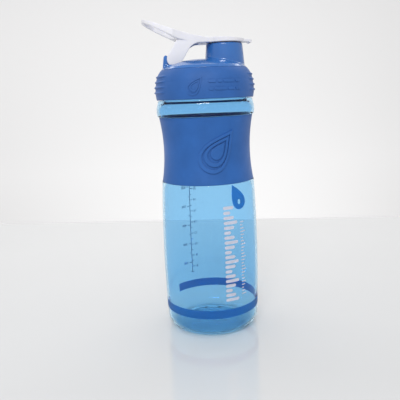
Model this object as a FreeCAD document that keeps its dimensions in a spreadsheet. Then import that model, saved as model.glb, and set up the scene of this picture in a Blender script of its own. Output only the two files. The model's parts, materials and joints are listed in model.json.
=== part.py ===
import FreeCAD, Part
import math
import os

import Sketcher

# A wide-mouth shaker bottle: clear bottle, rubber grip, two-start screw lid with a spout,
# and a flip cap whose arm also carries the finger loop. Millimetres, +Z up, origin at the
# middle of the foot. The spout points to +X and the hinge and loop to -X.

V = FreeCAD.Vector
doc = FreeCAD.newDocument("shaker_bottle")

DRIVING = {
    # bottle, outside
    "foot_inner_radius": 27.6,
    "foot_outer_radius": 30.9,
    "foot_corner_radius": 10.8,
    "base_rise": 4.2,
    "base_rise_radius": 19.6,
    "belly_radius": 43.1,
    "belly_height": 70.0,
    "upper_wall_radius": 41.1,
    "grip_bottom": 135.5,
    "grip_end_radius": 40.75,
    "waist_radius": 38.2,
    "waist_height": 165.0,
    "grip_top": 191.8,
    "grip_top_radius": 41.0,
    "grip_thickness": 1.6,
    "grip_edge": 0.5,
    "shoulder_radius": 42.7,
    "shoulder_bottom_radius": 42.3,
    "shoulder_height": 197.6,
    "shoulder_top": 204.6,
    "shoulder_top_radius": 40.6,
    "bottle_wall": 2.0,
    # neck and thread
    "neck_radius": 36.6,
    "neck_top": 226.0,
    "thread_lead": 12.0,
    "thread_bottom": 208.8,
    "thread_run": 9.0,
    "thread_depth": 1.5,
    "thread_root_width": 2.4,
    "thread_crest_width": 1.2,
    "thread_bite": 0.4,
    # lid
    "lid_bottom": 206.3,
    "lid_foot_radius": 42.2,
    "lid_radius": 42.8,
    "lid_wide_height": 212.5,
    "lid_bend_radius": 41.9,
    "lid_bend_height": 221.0,
    "lid_edge_via_radius": 40.5,
    "lid_edge_via_height": 226.3,
    "lid_edge_radius": 37.3,
    "lid_edge_height": 231.2,
    "dome_start_radius": 35.2,
    "dome_start_height": 233.6,
    "dome_via_radius": 20.0,
    "dome_via_height": 238.3,
    "dome_top": 239.6,
    "dome_flat_radius": 4.0,
    "skirt_inner_radius": 38.8,
    "skirt_throat_radius": 37.5,
    "skirt_throat_height": 222.3,
    "ceiling_height": 228.3,
    "ceiling_inner_radius": 33.6,
    "lid_wall": 2.1,
    "band_thickness": 1.1,
    "fit_gap": 0.05,
    # ridges of the lid's rubber band
    "ridge_first_height": 212.6,
    "ridge_spacing": 4.4,
    "ridge_radius": 1.1,
    "ridge_bite": 0.4,
    "ridge_lean": 0.24,
    "ridge_angle": 72.0,
    # spout
    "spout_centre": 18.4,
    "spout_foot_radius": 17.5,
    "spout_top_radius": 15.6,
    "spout_lip": 1.6,
    "seat_below": 2.0,
    "seat_above": 12.0,
    "spout_foot": 232.0,
    "spout_top": 252.3,
    "spout_bore_radius": 13.2,
    "flow_window_height": 4.2,
    "flow_window_half_width": 7.5,
    # hinge
    "pivot_back": 25.6,
    "pivot_height": 239.8,
    "pin_radius": 2.5,
    "lug_wall": 1.5,
    "socket_end_gap": 0.3,
    "pin_reach": 11.4,
    "post_half_width": 8.9,
    "cheek_inner": 9.4,
    "arm_half_width": 13.0,
    "knuckle_radius": 6.3,
    "well_clearance": 0.7,
    "well_wall": 1.7,
    "well_ceiling": 235.3,
    # flip cap
    "cap_underside": 252.7,
    "cap_top": 256.0,
    "cap_radius": 17.3,
    "tab_tip": 41.6,
    "tab_half_width": 6.0,
    "arm_web": 2.6,
    "loop_half_width": 17.0,
    "loop_hole_depth": 25.2,
    "loop_tip_back": 51.4,
    "loop_hole_half_width": 13.0,
    "loop_hole_half_length": 13.6,
    "loop_centre_back": 36.2,
    "loop_centre_height": 265.0,
    "loop_ceiling": 275.0,
    "plan_frame": 60.0,
    "pivot_fit": 0.06,
    # seal and grid
    "seal_thickness": 2.0,
    "seal_gap": 0.1,
    "lip_depth": 3.0,
    "lip_gap": 0.3,
    "lip_thickness": 1.9,
    "seal_overhang": 0.7,
    "grid_bottom": 228.9,
    "grid_thickness": 1.6,
    "grid_hole_radius": 1.9,
    "grid_hole_pitch": 5.51,
    "stopper_depth": 2.6,
    "stopper_gap": 0.4,
    # prints
    "print_thickness": 0.12,
    "base_band_bottom": 18.4,
    "base_band_top": 26.2,
    "base_band_angle": 317.0,
    "base_band_gap_direction": 156.5,
    "volume_scale_bottom": 34.0,
    "volume_scale_top": 127.0,
    "volume_scale_direction": 110.6,
    "volume_scale_spine_angle": 0.9,
    "volume_scale_bar_height": 0.6,
    "volume_scale_long_angle": 8.0,
    "volume_scale_short_angle": 4.6,
    "front_print_bottom": 35.0,
    "front_print_top": 116.0,
    "front_print_direction": -71.4,
    "front_print_spine_angle": 1.6,
    "front_print_bar_height": 3.2,
    "front_print_long_angle": 17.4,
    "front_print_short_angle": 10.6,
    "side_print_bottom": 38.0,
    "side_print_top": 105.0,
    "side_print_direction": -55.3,
    "side_print_spine_angle": 0.7,
    "side_print_bar_height": 1.1,
    "side_print_long_angle": 8.8,
    "side_print_short_angle": 5.2,
}


COLUMN_STEPS = {"volume_scale": 20, "front_print": 14, "side_print": 16}
RIDGE_COUNT = 3
GRID_RINGS = 5
ARM_LEAN = 57.0  # degrees up from +X
LOOP_SLOPE = 27.0  # degrees up from -X


class Size:
    """A dimension: its number in millimetres and the sheet expression that gives it."""

    def __init__(self, value, text):
        self.value = value
        self.text = text

    def __add__(self, other):
        return combine(self, "+", other, self.value + number(other))

    def __sub__(self, other):
        return combine(self, "-", other, self.value - number(other))

    def __mul__(self, other):
        return combine(self, "*", other, self.value * number(other))

    def __truediv__(self, other):
        return combine(self, "/", other, self.value / number(other))

    def __neg__(self):
        return Size(-self.value, "(-1 * " + self.text + ")")


def number(item):
    return item.value if isinstance(item, Size) else float(item)


def combine(left, sign, right, value):
    text = right.text if isinstance(right, Size) else repr(float(right))
    return Size(value, "(" + left.text + " " + sign + " " + text + ")")


def fill_sheet(values):
    """Put every driving dimension on the sheet and return them as Sizes by name."""
    sheet = doc.addObject("Spreadsheet::Sheet", "Sizes")
    sizes = {}
    for row, (alias, value) in enumerate(values.items(), start=1):
        sheet.set("A" + str(row), alias)
        sheet.set("B" + str(row), str(value))
        sheet.setAlias("B" + str(row), alias)
        sizes[alias] = Size(value, "Sizes." + alias)
    doc.recompute()
    return sizes


D = fill_sheet(DRIVING)


def bind(item, prop, size):
    item.setExpression(prop, size.text)


# ---- sketch helpers ---------------------------------------------------------------------


def new_body(label):
    body = doc.addObject("PartDesign::Body", label)
    body.Label = label
    return body


def origin_plane(body, role):
    for feature in body.Origin.OriginFeatures:
        if feature.Role == role:
            return feature
    raise LookupError(role)


def new_sketch(body, name, role, lift=None, shift=None):
    """A sketch on one of the body's origin planes, moved along its normal by lift, its X by shift."""
    sketch = body.newObject("Sketcher::SketchObject", body.Label + "_" + name)
    sketch.AttachmentSupport = (origin_plane(body, role), "")
    sketch.MapMode = "FlatFace"
    if lift is not None:
        bind(sketch, "AttachmentOffset.Base.z", lift)
    if shift is not None:
        bind(sketch, "AttachmentOffset.Base.x", shift)
    return sketch


def pin_point(sketch, geometry, vertex, x, y):
    """Hold one vertex at (x, y), measured from the sketch's origin."""
    for kind, axis, size in (("DistanceX", -2, x), ("DistanceY", -1, y)):
        if number(size) == 0:
            sketch.addConstraint(Sketcher.Constraint("PointOnObject", geometry, vertex, axis))
            continue
        held = Sketcher.Constraint(kind, -1, 1, geometry, vertex, number(size))
        index = sketch.addConstraint(held)
        if isinstance(size, Size):
            sketch.setExpression("Constraints[" + str(index) + "]", size.text)


def outline(sketch, points):
    """Close an outline through the points: (x, y) ends a line, (via_x, via_y, x, y) an arc.
    The first point closes the outline, so its own four numbers make the closing edge an arc."""
    corner = points[0][-2:]
    previous = None
    first = None
    for step in points[1:] + points[:1]:
        a = V(number(corner[0]), number(corner[1]), 0)
        b = V(number(step[-2]), number(step[-1]), 0)
        if len(step) == 2:
            edge = sketch.addGeometry(Part.LineSegment(a, b), False)
            head, tail = 1, 2
        else:
            via = V(number(step[0]), number(step[1]), 0)
            edge = sketch.addGeometry(Part.Arc(a, via, b), False)
            near_start = sketch.getPoint(edge, 1).distanceToPoint(a) < 1e-6
            head, tail = (1, 2) if near_start else (2, 1)
            mark = sketch.addGeometry(Part.Point(via), True)
            pin_point(sketch, mark, 1, step[0], step[1])
            sketch.addConstraint(Sketcher.Constraint("PointOnObject", mark, 1, edge))
        pin_point(sketch, edge, head, corner[0], corner[1])
        if previous is None:
            first = (edge, head)
        else:
            sketch.addConstraint(Sketcher.Constraint("Coincident", *previous, edge, head))
        previous = (edge, tail)
        corner = step[-2:]
    sketch.addConstraint(Sketcher.Constraint("Coincident", *previous, *first))


def circle(sketch, x, y, radius):
    at = V(number(x), number(y), 0)
    edge = sketch.addGeometry(Part.Circle(at, V(0, 0, 1), radius.value), False)
    pin_point(sketch, edge, 3, x, y)
    index = sketch.addConstraint(Sketcher.Constraint("Radius", edge, radius.value))
    sketch.setExpression("Constraints[" + str(index) + "]", radius.text)


# ---- feature helpers --------------------------------------------------------------------


def finish_feature(body, feature):
    doc.recompute()
    body.Tip = feature
    return feature


def revolve(body, sketch, name, angle=None):
    """Turn the sketch about the body's Z axis, all the way round or centred on its plane."""
    feature = body.newObject("PartDesign::Revolution", body.Label + "_" + name)
    feature.Profile = sketch
    feature.ReferenceAxis = (sketch, ["V_Axis"])
    feature.Angle = 360
    if angle is not None:
        feature.Midplane = True
        bind(feature, "Angle", angle)
    return finish_feature(body, feature)


def groove(body, sketch, name):
    """Cut the sketch out of the body all the way round the sketch's upright axis."""
    before = body.Shape.Volume
    feature = body.newObject("PartDesign::Groove", body.Label + "_" + name)
    feature.Profile = sketch
    feature.ReferenceAxis = (sketch, ["V_Axis"])
    feature.Angle = 360
    finish_feature(body, feature)
    if body.Shape.Volume > before - 1.0:
        raise RuntimeError(name + " cuts nothing")
    return feature


def pad(body, sketch, name, length, midplane=False):
    feature = body.newObject("PartDesign::Pad", body.Label + "_" + name)
    feature.Profile = sketch
    feature.SideType = "Symmetric" if midplane else "One side"
    bind(feature, "Length", length)
    return finish_feature(body, feature)


def pocket(body, sketch, name, length=None, midplane=False):
    """Cut the sketch out of the body, through everything or to a length, and prove it cut."""
    before = body.Shape.Volume
    feature = body.newObject("PartDesign::Pocket", body.Label + "_" + name)
    feature.Profile = sketch
    feature.SideType = "Symmetric" if midplane else "One side"
    if length is None:
        feature.Type = "ThroughAll"
    else:
        bind(feature, "Length", length)
    finish_feature(body, feature)
    if body.Shape.Volume > before - 1.0:
        raise RuntimeError(name + " cuts nothing")
    return feature


def repeat_round(body, feature, sketch, name, count):
    """Copy a feature evenly about the body's Z axis."""
    pattern = body.newObject("PartDesign::PolarPattern", body.Label + "_" + name)
    pattern.Originals = [feature]
    pattern.Axis = (sketch, ["V_Axis"])
    pattern.Angle = 360
    pattern.Occurrences = count
    return finish_feature(body, pattern)


def two_start_thread(body, wall, crest, bottom):
    """Two helical ridges with a flat crest that grow out of the wall radius to the crest."""
    toward = 1 if crest.value > wall.value else -1
    root = wall - D["thread_bite"] * toward
    half_root = D["thread_root_width"] / 2
    half_crest = D["thread_crest_width"] / 2
    sketch = new_sketch(body, "tooth", "XZ_Plane")
    outline(sketch, [
        (root, bottom - half_root),
        (crest, bottom - half_crest),
        (crest, bottom + half_crest),
        (root, bottom + half_root),
    ])
    ridge = body.newObject("PartDesign::AdditiveHelix", body.Label + "_ridge")
    ridge.Profile = sketch
    ridge.ReferenceAxis = (sketch, ["V_Axis"])
    ridge.Mode = "pitch-height-angle"
    bind(ridge, "Pitch", D["thread_lead"])
    bind(ridge, "Height", D["thread_run"])
    finish_feature(body, ridge)
    return repeat_round(body, ridge, sketch, "starts", 2)


# ---- bottle -----------------------------------------------------------------------------


def foot_corner(shrink):
    """Via and end point of the rounded foot corner, drawn in by shrink."""
    radius = D["foot_corner_radius"]
    diagonal = radius - (radius - shrink) * math.sqrt(0.5)
    via_x = D["foot_outer_radius"] + (radius - shrink) * math.sqrt(0.5)
    return (via_x, diagonal, D["foot_outer_radius"] + radius - shrink, radius)


def make_bottle():
    body = new_body("bottle_body")
    sketch = new_sketch(body, "section", "XZ_Plane")
    wall = D["bottle_wall"]
    recess = D["grip_thickness"]
    rise = D["base_rise"]
    mouth = D["neck_radius"] - wall
    outline(sketch, [
        (0, rise),
        (D["base_rise_radius"], rise),
        (D["base_rise_radius"] + 5.5, rise * 0.72, D["foot_inner_radius"], 0),
        (D["foot_outer_radius"], 0),
        foot_corner(0),
        (D["belly_radius"], D["belly_height"], D["upper_wall_radius"], D["grip_bottom"] - 0.5),
        (D["upper_wall_radius"] - 0.5, D["grip_bottom"]),
        (D["grip_end_radius"] - recess, D["grip_bottom"]),
        (D["waist_radius"] - recess, D["waist_height"], D["grip_top_radius"] - recess, D["grip_top"]),
        (D["shoulder_bottom_radius"] - 0.6, D["grip_top"]),
        (D["shoulder_bottom_radius"], D["grip_top"] + 0.6),
        (D["shoulder_radius"], D["shoulder_height"], D["shoulder_top_radius"], D["shoulder_top"]),
        (D["neck_radius"] + 0.8, D["shoulder_top"] + 0.9),
        (D["neck_radius"], D["shoulder_top"] + 1.8),
        (D["neck_radius"], D["neck_top"]),
        (mouth, D["neck_top"]),
        (mouth, D["shoulder_top"] + 0.4),
        (D["shoulder_radius"] - wall, D["shoulder_height"] + 1,
         D["shoulder_bottom_radius"] - wall, D["grip_top"] + 2),
        (D["grip_top_radius"] - recess - wall, D["grip_top"] - 1),
        (D["waist_radius"] - recess - wall, D["waist_height"],
         D["grip_end_radius"] - recess - wall, D["grip_bottom"] - 1),
        (D["upper_wall_radius"] - wall, D["grip_bottom"] - 6),
        (D["belly_radius"] - wall, D["belly_height"], *foot_corner(wall)[2:]),
        (*foot_corner(wall)[:2], D["foot_outer_radius"], wall),
        (D["foot_inner_radius"] + 1.2, wall),
        (D["base_rise_radius"] + 6.7, wall + rise * 0.72, D["base_rise_radius"], rise + wall),
        (0, rise + wall),
    ])
    revolve(body, sketch, "wall")
    two_start_thread(body, D["neck_radius"], D["neck_radius"] + D["thread_depth"], D["thread_bottom"])
    return body


def make_grip():
    body = new_body("grip_sleeve")
    sketch = new_sketch(body, "section", "XZ_Plane")
    inside = D["grip_thickness"] - D["fit_gap"]
    soft = D["grip_edge"]
    outline(sketch, [
        (D["waist_radius"] - inside, D["waist_height"],
         D["grip_end_radius"] - inside, D["grip_bottom"]),
        (D["grip_end_radius"] - soft, D["grip_bottom"]),
        (D["grip_end_radius"], D["grip_bottom"] + soft),
        (D["waist_radius"], D["waist_height"], D["grip_top_radius"], D["grip_top"] - soft),
        (D["grip_top_radius"] - soft, D["grip_top"]),
        (D["grip_top_radius"] - inside, D["grip_top"]),
    ])
    revolve(body, sketch, "wall")
    return body


def belly_skin(sketch, bottom, top):
    """A thin strip that follows the bottle's belly between two heights."""
    inner = D["fit_gap"]
    outer = inner + D["print_thickness"]
    middle = (bottom + top) / 2
    outline(sketch, [
        (belly_at(middle) + inner, middle, belly_at(bottom) + inner, bottom),
        (belly_at(bottom) + outer, bottom),
        (belly_at(middle) + outer, middle, belly_at(top) + outer, top),
        (belly_at(top) + inner, top),
    ])


def belly_at(height):
    """Radius of the belly's arc at a height: the circle through its three driving points."""
    points = [
        V(D["foot_outer_radius"].value + D["foot_corner_radius"].value, D["foot_corner_radius"].value, 0),
        V(D["belly_radius"].value, D["belly_height"].value, 0),
        V(D["upper_wall_radius"].value, D["grip_bottom"].value - 0.5, 0),
    ]
    belly = Part.Circle(*points)
    reach = math.sqrt(belly.Radius ** 2 - (height.value - belly.Center.y) ** 2)
    radius = belly.Center.x + reach
    return D["belly_radius"] + (radius - D["belly_radius"].value)


def make_base_band():
    body = new_body("base_band")
    sketch = new_sketch(body, "section", "XZ_Plane")
    belly_skin(sketch, D["base_band_bottom"], D["base_band_top"])
    revolve(body, sketch, "skin", D["base_band_angle"])
    turn = FreeCAD.Rotation(V(0, 0, 1), D["base_band_gap_direction"].value + 180)
    body.Placement = FreeCAD.Placement(V(), turn)
    return body


def make_printed_column(label, steps):
    """A print on the belly: an upright spine crossed by bars, long and short in turn."""
    body = new_body(label)
    bottom = D[label + "_bottom"]
    top = D[label + "_top"]
    spine = new_sketch(body, "spine", "XZ_Plane")
    belly_skin(spine, bottom, top)
    revolve(body, spine, "spine", D[label + "_spine_angle"])
    bar_height = D[label + "_bar_height"]
    step = (top - bottom - bar_height) / steps
    for index in range(steps + 1):
        foot = bottom + step * index
        bar = new_sketch(body, "bar_" + str(index), "XZ_Plane")
        belly_skin(bar, foot, foot + bar_height)
        width = D[label + "_long_angle"] if index % 2 == 0 else D[label + "_short_angle"]
        revolve(body, bar, "mark_" + str(index), width)
    turn = FreeCAD.Rotation(V(0, 0, 1), D[label + "_direction"].value)
    body.Placement = FreeCAD.Placement(V(), turn)
    return body


# ---- lid --------------------------------------------------------------------------------


def make_seal():
    """A flat gasket on the mouth's rim, with a lip that hangs just inside the neck."""
    body = new_body("lid_seal")
    sketch = new_sketch(body, "section", "XZ_Plane")
    mouth = D["neck_radius"] - D["bottle_wall"]
    under = D["neck_top"] + D["seal_gap"]
    lip_outer = mouth - D["lip_gap"]
    lip_inner = lip_outer - D["lip_thickness"]
    ring_outer = D["neck_radius"] + D["seal_overhang"]
    outline(sketch, [
        (lip_inner, under - D["lip_depth"]),
        (lip_outer - 0.5, under - D["lip_depth"]),
        (lip_outer, under - D["lip_depth"] + 0.8),
        (lip_outer, under),
        (ring_outer, under),
        (ring_outer, under + D["seal_thickness"]),
        (lip_inner, under + D["seal_thickness"]),
    ])
    revolve(body, sketch, "ring")
    return body


def band_outer(shrink):
    """The lid's outside between its foot and the top of its rubber band, drawn in by shrink."""
    return [
        (D["lid_foot_radius"] - shrink, D["lid_bottom"] + 0.4),
        (D["lid_radius"] - shrink, D["lid_wide_height"],
         D["lid_bend_radius"] - shrink, D["lid_bend_height"]),
        (D["lid_edge_via_radius"] - shrink * 0.85, D["lid_edge_via_height"] - shrink * 0.4,
         D["lid_edge_radius"] - shrink * 0.7, D["lid_edge_height"]),
    ]


def make_lid_skirt():
    """The lid's threaded wall, with the inner ledge that presses on the seal."""
    body = new_body("lid_skirt")
    sketch = new_sketch(body, "section", "XZ_Plane")
    outline(sketch, [
        (D["skirt_inner_radius"], D["lid_bottom"] + 0.4),
        *band_outer(D["band_thickness"] + D["fit_gap"]),
        (D["ceiling_inner_radius"], D["lid_edge_height"]),
        (D["ceiling_inner_radius"], D["ceiling_height"]),
        (D["skirt_throat_radius"], D["ceiling_height"]),
        (D["skirt_throat_radius"], D["skirt_throat_height"]),
        (D["skirt_inner_radius"], D["skirt_throat_height"] - 0.6),
    ])
    revolve(body, sketch, "wall")
    two_start_thread(body, D["skirt_inner_radius"], D["skirt_inner_radius"] - D["thread_depth"],
                     D["thread_bottom"] + D["thread_lead"] / 4)
    return body


def make_lid_dome():
    """The lid's crown, cut out for the spout and the hinge well."""
    body = new_body("lid_dome")
    wall = D["lid_wall"]
    sketch = new_sketch(body, "section", "XZ_Plane")
    outline(sketch, [
        (D["ceiling_inner_radius"], D["lid_edge_height"]),
        (D["lid_edge_radius"], D["lid_edge_height"]),
        (D["dome_start_radius"], D["dome_start_height"]),
        (D["dome_via_radius"], D["dome_via_height"], D["dome_flat_radius"], D["dome_top"]),
        (0, D["dome_top"]),
        (0, D["dome_top"] - wall),
        (D["dome_flat_radius"], D["dome_top"] - wall),
        (D["dome_via_radius"], D["dome_via_height"] - wall,
         D["dome_start_radius"] - 2.0, D["dome_start_height"] - wall + 0.2),
    ])
    revolve(body, sketch, "crown")
    add_hinge_well(body)

    seat = new_sketch(body, "spout_seat", "XZ_Plane", shift=D["spout_centre"])
    low = D["spout_foot"] - D["seat_below"]
    high = D["spout_foot"] + D["seat_above"]
    outline(seat, [
        (0, low),
        (spout_radius_at(low) + D["fit_gap"], low),
        (spout_radius_at(high) + D["fit_gap"], high),
        (0, high),
    ])
    groove(body, seat, "spout_seat")
    return body


def spout_radius_at(height):
    """The spout's tapered outside, wide at its foot."""
    slope = (D["spout_foot_radius"] - D["spout_top_radius"]) / (D["spout_top"] - D["spout_foot"]).value
    return D["spout_foot_radius"] - slope * (height - D["spout_foot"]).value


def make_spout():
    """The drinking spout: a tapered tube with a rounded lip, let into the crown.
    A window in its foot lets the drink in from the rest of the lid."""
    body = new_body("spout")
    sketch = new_sketch(body, "section", "XZ_Plane")
    bore = D["spout_bore_radius"]
    lip = D["spout_lip"]
    shoulder = D["spout_top"] - lip
    outer = spout_radius_at(shoulder)
    outline(sketch, [
        (bore, D["spout_foot"]),
        (D["spout_foot_radius"], D["spout_foot"]),
        (outer, shoulder),
        (outer - lip * 0.3, shoulder + lip * 0.7, outer - lip, D["spout_top"]),
        (bore + 0.5, D["spout_top"]),
        (bore, D["spout_top"] - 0.5),
    ])
    revolve(body, sketch, "tube")

    height = D["flow_window_height"]
    half = D["flow_window_half_width"]
    outside = -D["spout_foot_radius"] - 1
    inside = -bore * 0.6
    window = new_sketch(body, "window", "XY_Plane", lift=D["spout_foot"] + height)
    outline(window, [(outside, -half), (inside, -half), (inside, half), (outside, half)])
    pocket(body, window, "flow_window", height + 1)
    body.Placement = FreeCAD.Placement(V(D["spout_centre"].value, 0, 0), FreeCAD.Rotation())
    return body


def add_hinge_well(body):
    """The well the cap's cheeks stand in, and between them the post with its pivot pin."""
    pivot_x = -D["pivot_back"]
    pivot_z = D["pivot_height"]
    well_radius = D["knuckle_radius"] + D["well_clearance"]
    outer = well_radius + D["well_wall"]
    drop = pivot_z - D["well_ceiling"]
    side = outer * math.sqrt(1 - (drop.value / outer.value) ** 2)

    tub = new_sketch(body, "tub_side", "XZ_Plane")
    outline(tub, [
        (pivot_x, pivot_z - outer, pivot_x - side, D["well_ceiling"]),
        (pivot_x + side, D["well_ceiling"]),
    ])
    pad(body, tub, "tub", (D["arm_half_width"] + D["well_clearance"] + D["well_wall"]) * 2, midplane=True)

    well = new_sketch(body, "well_side", "XZ_Plane")
    circle(well, pivot_x, pivot_z, well_radius)
    pocket(body, well, "well", (D["arm_half_width"] + D["well_clearance"]) * 2, midplane=True)

    post = new_sketch(body, "post_side", "XZ_Plane")
    lug = D["pin_radius"] + D["lug_wall"]
    back = pivot_x - lug
    outline(post, [
        (back - 6.0, pivot_z - 6.4),
        (pivot_x + 3.0, pivot_z - 7.6),
        (pivot_x + lug, pivot_z),
        (pivot_x, pivot_z + lug, back, pivot_z),
        (back - 1.2, pivot_z + 1.0),
        (back - 2.0, pivot_z + 3.2),
        (back - 3.6, pivot_z + 3.7),
        (back - 4.8, pivot_z + 2.4),
    ])
    pad(body, post, "post", D["post_half_width"] * 2, midplane=True)

    pin = new_sketch(body, "pin_side", "XZ_Plane")
    circle(pin, pivot_x, pivot_z, D["pin_radius"])
    pad(body, pin, "pin", D["pin_reach"] * 2, midplane=True)


def make_lid_band():
    """The lid's rubber band, with three grip ridges on its left and on its right."""
    body = new_body("lid_grip_band")
    sketch = new_sketch(body, "section", "XZ_Plane")
    thickness = D["band_thickness"]
    outer = band_outer(0)
    inner = band_outer(thickness)
    outline(sketch, [
        (*inner[1][:2], *inner[0]),
        (D["lid_foot_radius"] - thickness, D["lid_bottom"]),
        (D["lid_foot_radius"] - 0.4, D["lid_bottom"]),
        *outer,
        inner[2][-2:],
        (*inner[2][:2], *inner[1][-2:]),
    ])
    revolve(body, sketch, "band")

    ridges = new_sketch(body, "ridges", "XZ_Plane")
    for index in range(RIDGE_COUNT):
        height = D["ridge_first_height"] + D["ridge_spacing"] * index
        root = D["lid_radius"] - D["ridge_bite"] - D["ridge_lean"] * (index * index)
        out = D["ridge_radius"]
        outline(ridges, [
            (root, height - out),
            (root + out + 0.3, height - 0.3, root, height + out),
        ])
    band_ridges = revolve(body, ridges, "ridge", D["ridge_angle"])
    repeat_round(body, band_ridges, ridges, "both_sides", 2)
    return body


def make_grid():
    """A round grid that keeps lumps back, snapped up under the lid."""
    body = new_body("mixing_grid")
    disc = new_sketch(body, "disc", "XY_Plane", lift=D["grid_bottom"])
    circle(disc, 0, 0, D["ceiling_inner_radius"] - D["fit_gap"])
    pad(body, disc, "plate", D["grid_thickness"])
    holes = new_sketch(body, "holes", "XY_Plane", lift=D["grid_bottom"] + D["grid_thickness"])
    circle(holes, 0, 0, D["grid_hole_radius"])
    for ring in range(1, GRID_RINGS + 1):
        reach = D["grid_hole_pitch"] * ring
        for index in range(6 * ring):
            turn = 2 * math.pi * (index + 0.5 * (ring % 2)) / (6 * ring)
            across = reach * math.cos(turn)
            along = reach * math.sin(turn)
            circle(holes, across, along, D["grid_hole_radius"])
    pocket(body, holes, "hole")
    return body


# ---- flip cap ---------------------------------------------------------------------------


def make_flip_cap():
    """Arm, spout cover and finger loop in one moulding."""
    body = new_body("flip_cap")
    pad_loop_and_cover(body)
    trim_to_plan(body)
    pad_arm(body)
    cut_loop_hole(body)
    hollow_arm(body)

    socket = new_sketch(body, "pivot_socket", "XZ_Plane")
    circle(socket, -D["pivot_back"], D["pivot_height"], D["pin_radius"] + D["pivot_fit"])
    pocket(body, socket, "pivot", (D["pin_reach"] + D["socket_end_gap"]) * 2, midplane=True)
    return body


def beside_arm(side, reach):
    """A point in the side view: side toward the arm's back, reach up the leaning arm."""
    lean = math.radians(ARM_LEAN)
    x = -D["pivot_back"] + reach * math.cos(lean) - side * math.sin(lean)
    z = D["pivot_height"] + reach * math.sin(lean) + side * math.cos(lean)
    return (x, z)


def pad_loop_and_cover(body):
    """The sloping loop and the flat cover, as one side view: the arm joins them from below."""
    half = D["knuckle_radius"]
    tip = -D["loop_tip_back"]
    underside = D["cap_underside"]
    nail_lip = underside - 0.9
    sketch = new_sketch(body, "side_view", "XZ_Plane")
    outline(sketch, [
        beside_arm(half, half * 2.45),
        (-9.6, 253.6),
        (-2.0, underside),
        (D["tab_tip"] - 2.6, underside),
        (D["tab_tip"] - 1.8, nail_lip),
        (D["tab_tip"] - 0.5, nail_lip),
        (D["tab_tip"] + 0.2, underside + 1.0, D["tab_tip"] - 1.4, D["cap_top"] - 1.2),
        (D["spout_centre"], D["cap_top"] + 0.4, D["spout_centre"] - D["cap_radius"], D["cap_top"] + 1.0),
        (-5.2, 258.4),
        (-30.0, 265.2, tip + 1.4, 272.6),
        (tip, 271.8, tip + 0.4, 270.4),
    ])
    pad(body, sketch, "blank", (D["loop_half_width"] + 1) * 2, midplane=True)


def pad_arm(body):
    """The leaning arm with its round knuckle, as wide as its two cheeks."""
    half = D["knuckle_radius"]
    sketch = new_sketch(body, "arm_side", "XZ_Plane")
    outline(sketch, [
        beside_arm(half, 0),
        (*beside_arm(0, -half), *beside_arm(-half, 0)),
        beside_arm(-half, half * 2),
        (-9.6, 250.9, -2.0, D["cap_underside"]),
        (-2.0, D["cap_underside"] + 2),
        beside_arm(half * 0.5, half * 3.1),
        beside_arm(half, half * 2.3),
    ])
    pad(body, sketch, "arm", D["arm_half_width"] * 2, midplane=True)


COVER_JOIN_ANGLE = math.radians(48)  # where the straight arm meets the round cover
TAB_JOIN_ANGLE = math.radians(24)  # where the thumb tab leaves it


def trim_to_plan(body):
    """Cut away everything outside the plan: rounded loop, straight arm, round cover, tab."""
    arm = D["arm_half_width"]
    loop = D["loop_half_width"]
    tab = D["tab_half_width"]
    tip = -D["loop_tip_back"] - 0.6
    centre = D["spout_centre"]
    cover = D["cap_radius"]
    cover_x = centre - cover * math.cos(COVER_JOIN_ANGLE)
    cover_y = cover * math.sin(COVER_JOIN_ANGLE)
    tab_root_x = centre + cover * math.cos(TAB_JOIN_ANGLE)
    tab_root_y = cover * math.sin(TAB_JOIN_ANGLE)
    side = [
        (tip, 0),
        (tip + 4.6, loop * 0.77, tip + loop, loop),
        (-26.5, loop),
        (-19.5, arm + 1.2, -13.0, arm),
        (cover_x, cover_y),
        (centre, cover, tab_root_x, tab_root_y),
        (D["tab_tip"] - 2.0, tab),
        (D["tab_tip"] - 0.6, tab * 0.9, D["tab_tip"] + 0.4, tab * 0.45),
    ]
    sketch = new_sketch(body, "plan", "XY_Plane", lift=D["loop_ceiling"])
    far = D["plan_frame"]
    outline(sketch, [(-far, -far), (far, -far), (far, far), (-far, far)])
    outline(sketch, mirror_outline(side))
    pocket(body, sketch, "plan_trim")


def mirror_outline(side):
    """Close a half outline, given from one end of the X axis to the other, with its mirror."""
    back = []
    for index in range(len(side) - 1, 0, -1):
        step = side[index]
        target = side[index - 1][-2:]
        flipped = (target[0], -target[1])
        if len(step) == 4:
            flipped = (step[0], -step[1], *flipped)
        back.append(flipped)
    end = side[-1][-2:]
    across = (end[0], -end[1])
    middle = [] if number(end[1]) == 0 else [across]
    closed = side + middle + back
    return [closed[-1], *closed[1:-1]]


def cut_loop_hole(body):
    """An oval hole through the loop, square to its slope."""
    sketch = new_sketch(body, "loop_hole", "XY_Plane")
    slope = FreeCAD.Rotation(V(0, 1, 0), LOOP_SLOPE)
    sketch.AttachmentOffset = FreeCAD.Placement(V(), slope)
    bind(sketch, "AttachmentOffset.Base.x", -D["loop_centre_back"])
    bind(sketch, "AttachmentOffset.Base.z", D["loop_centre_height"])
    wide = D["loop_hole_half_width"]
    long = D["loop_hole_half_length"]
    shoulder = long - wide * 0.62
    outline(sketch, [
        (long, 0, shoulder, wide),
        (-shoulder, wide),
        (-long, 0, -shoulder, -wide),
        (shoulder, -wide),
    ])
    pocket(body, sketch, "loop_hole", D["loop_hole_depth"], midplane=True)


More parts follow.
